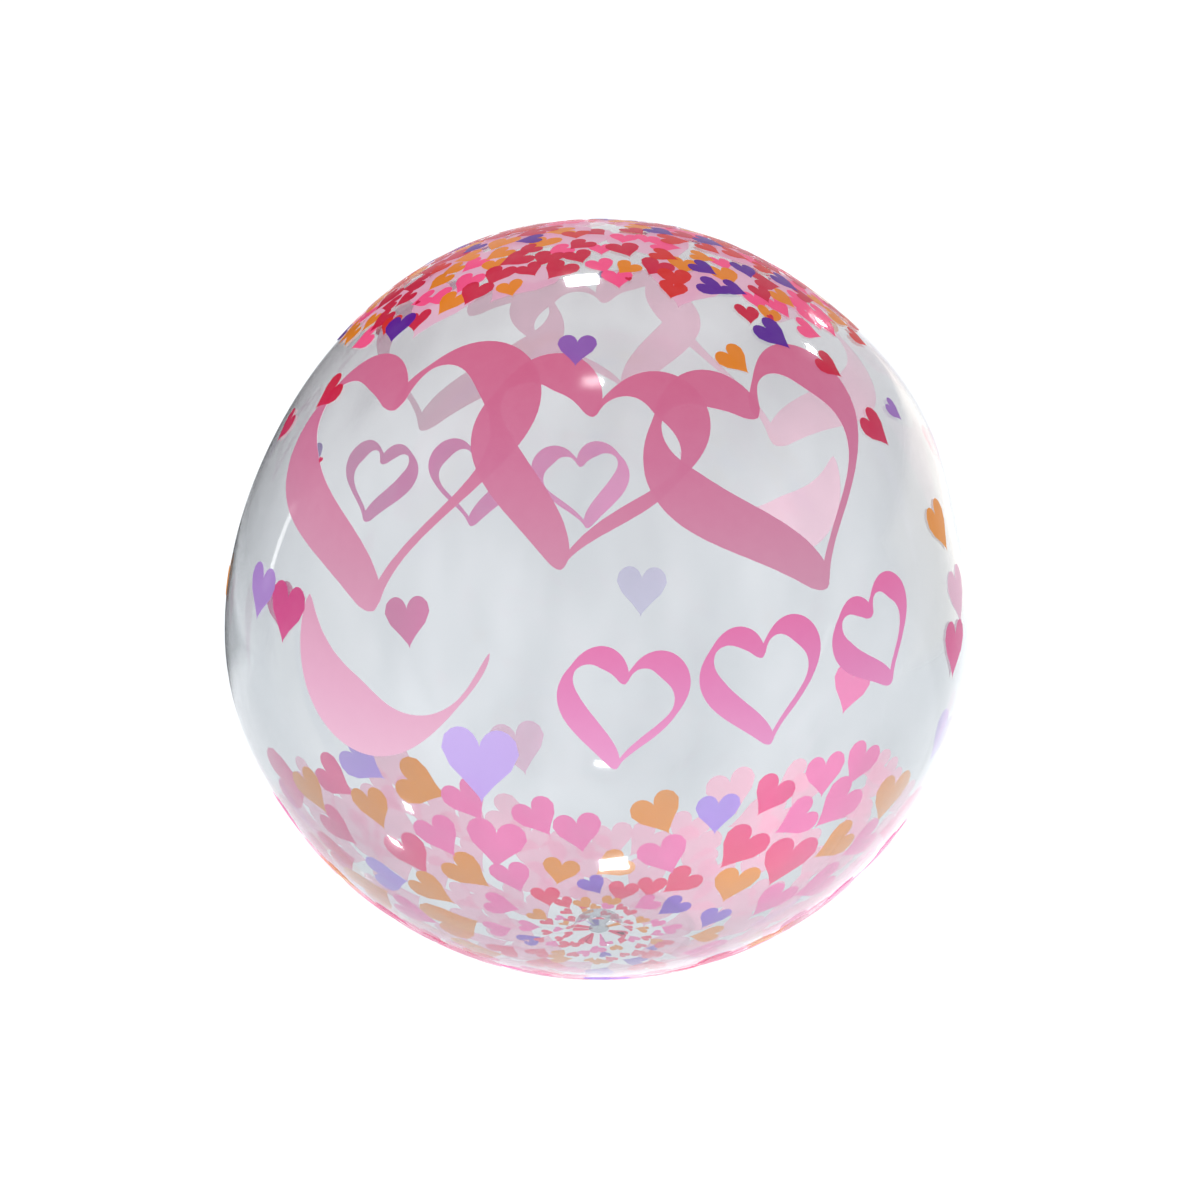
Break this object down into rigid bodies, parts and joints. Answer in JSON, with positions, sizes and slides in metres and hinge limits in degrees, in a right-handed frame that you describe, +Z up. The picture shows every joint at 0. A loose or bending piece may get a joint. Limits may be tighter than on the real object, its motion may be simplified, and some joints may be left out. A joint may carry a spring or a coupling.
{
  "type": "clear bubble balloon",
  "caption": "Clear, nearly round bubble balloon of stretched film with a printed heart confetti pattern, tied off in a tuck underneath.",
  "frame": {"origin": "on the floor plane below the balloon's centre, at the middle of the flat spot it rests on", "axes": "+Z up along the balloon's axis from the tied neck to the crown, -Y towards the front of the print, +X to the right of someone facing the print"},
  "size_m": [0.4472, 0.4472, 0.4494],
  "materials": {
    "clear_film": "clear stretched plastic film, glossy, printed in pinks, reds, orange and violet"
  },
  "bodies": {
    "root": {"balloon_skin": "clear_film"}
  },
  "joints": []
}
